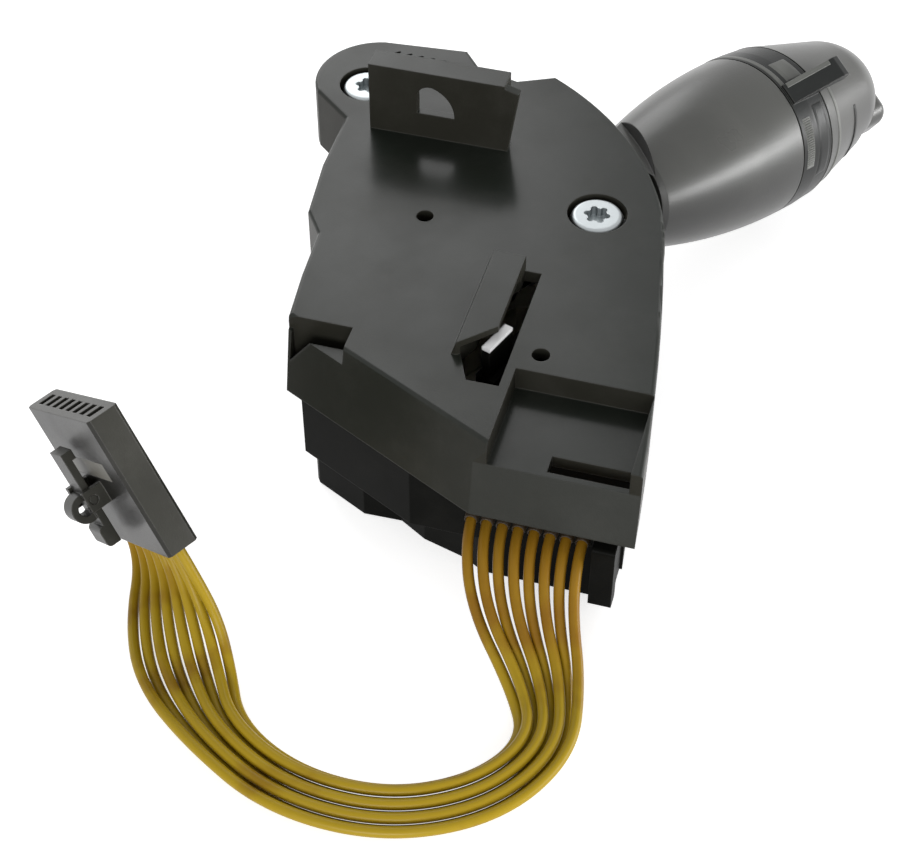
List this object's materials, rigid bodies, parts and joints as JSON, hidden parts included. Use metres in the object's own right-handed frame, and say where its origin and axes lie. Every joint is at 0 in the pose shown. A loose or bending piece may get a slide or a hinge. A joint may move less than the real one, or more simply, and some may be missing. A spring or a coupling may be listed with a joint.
{
  "type": "combination stalk switch",
  "caption": "Steering column stalk switch: flat screwed housing with bracket, tapered stalk with turning ring and knob, push button, cancel pawl, and a wired connector.",
  "frame": {"origin": "on the flat mounting face of the base, at the axis that the stalk turns about", "axes": "+Z from the mounting face towards the rear cover, +Y towards the end of the housing with the ear and the bracket, +X towards the side that the stalk leaves from"},
  "size_m": [0.1364, 0.2126, 0.0552],
  "materials": {
    "cover_plastic": "moulded nylon, fine grain",
    "base_plastic": "moulded nylon, black",
    "zinc_steel": "bright zinc plate",
    "steel": "ground",
    "spring_steel": "drawn wire",
    "contact_brass": "stamped",
    "bearing_plastic": "natural acetal",
    "bearing_dark": "glass-filled nylon",
    "board": "phenolic board",
    "stalk_plastic": "satin grain",
    "ring_plastic": "satin grain",
    "white_acetal": "moulded",
    "plug_plastic": "moulded nylon, black",
    "lock_plastic": "moulded, grey",
    "wire_insulation": "extruded, yellow"
  },
  "bodies": {
    "housing": {"base_housing": "base_plastic", "rear_cover": "cover_plastic", "cover_screws": "zinc_steel", "pivot_pin": "steel", "detent_track": "bearing_plastic", "contact_board": "board", "slider_guide": "base_plastic", "fixed_contacts": "contact_brass", "harness_terminals": "contact_brass", "wire_comb": "base_plastic", "pawl_pin": "steel", "connector_shell": "plug_plastic", "lock_bar": "lock_plastic", "plug_terminals": "contact_brass", "wire_1": "wire_insulation", "wire_2": "wire_insulation", "wire_3": "wire_insulation", "wire_4": "wire_insulation", "wire_5": "wire_insulation", "wire_6": "wire_insulation", "wire_7": "wire_insulation", "wire_8": "wire_insulation"},
    "turn_yoke": {"yoke": "bearing_plastic", "dust_shield": "base_plastic", "cross_pin": "steel", "detent_spring": "spring_steel", "flash_spring": "spring_steel"},
    "detent": {"detent_plunger": "steel"},
    "lever": {"lever_arm": "bearing_dark", "stalk_barrel": "stalk_plastic", "knob_clip": "steel"},
    "ring": {"rotary_ring": "ring_plastic"},
    "knob": {"end_knob": "stalk_plastic", "button_spring": "spring_steel"},
    "button": {"end_button": "ring_plastic"},
    "slider": {"contact_slider": "bearing_plastic", "moving_contacts": "contact_brass"},
    "pawl": {"cancel_pawl": "base_plastic", "pawl_pad": "white_acetal"},
    "connector_lock": {"lock_lever": "plug_plastic"}
  },
  "joints": [
    {"name": "turn", "type": "hinge", "parent": "housing", "child": "turn_yoke", "pos_m": [0, 0, 0.017], "axis": [0, 0, 1], "range_deg": [-10, 10]},
    {"name": "flash", "type": "hinge", "parent": "turn_yoke", "child": "lever", "pos_m": [0.0095, 0.01645, 0.029], "axis": [0.866, -0.5, 0], "range_deg": [0, 5], "stiffness_Nm_per_rad": 1.2, "deforming": ["flash_spring"]},
    {"name": "detent_slide", "type": "slide", "parent": "turn_yoke", "child": "detent", "axis": [0.5, 0.866, 0], "range_m": [0, 0.0012], "stiffness_N_per_m": 150, "deforming": ["detent_spring"]},
    {"name": "ring_turn", "type": "hinge", "parent": "lever", "child": "ring", "pos_m": [0.03466, 0.06003, 0.02106], "axis": [0.4951, 0.8576, -0.1392], "range_deg": [-30, 30]},
    {"name": "knob_turn", "type": "hinge", "parent": "lever", "child": "knob", "pos_m": [0.04159, 0.07204, 0.01911], "axis": [0.4951, 0.8576, -0.1392], "range_deg": [-25, 25]},
    {"name": "button_push", "type": "slide", "parent": "knob", "child": "button", "axis": [-0.4951, -0.8576, 0.1392], "range_m": [0, 0.0018], "stiffness_N_per_m": 150, "deforming": ["button_spring"]},
    {"name": "slider_travel", "type": "slide", "parent": "housing", "child": "slider", "axis": [0.866, -0.5, 0], "range_m": [-0.003, 0.003]},
    {"name": "pawl_swing", "type": "hinge", "parent": "housing", "child": "pawl", "pos_m": [0.0086, -0.025, 0.032], "axis": [0, 0, 1], "range_deg": [-5, 5], "stiffness_Nm_per_rad": 0.004},
    {"name": "lock_press", "type": "hinge", "parent": "housing", "child": "connector_lock", "pos_m": [-0.0598, -0.07788, 0.02238], "axis": [0.6618, -0.5049, 0.5542], "range_deg": [0, 4], "stiffness_Nm_per_rad": 0.001}
  ],
  "couplings": [
    {"joint": "slider_travel", "follows": "turn", "m_per_rad": 0.017}
  ]
}
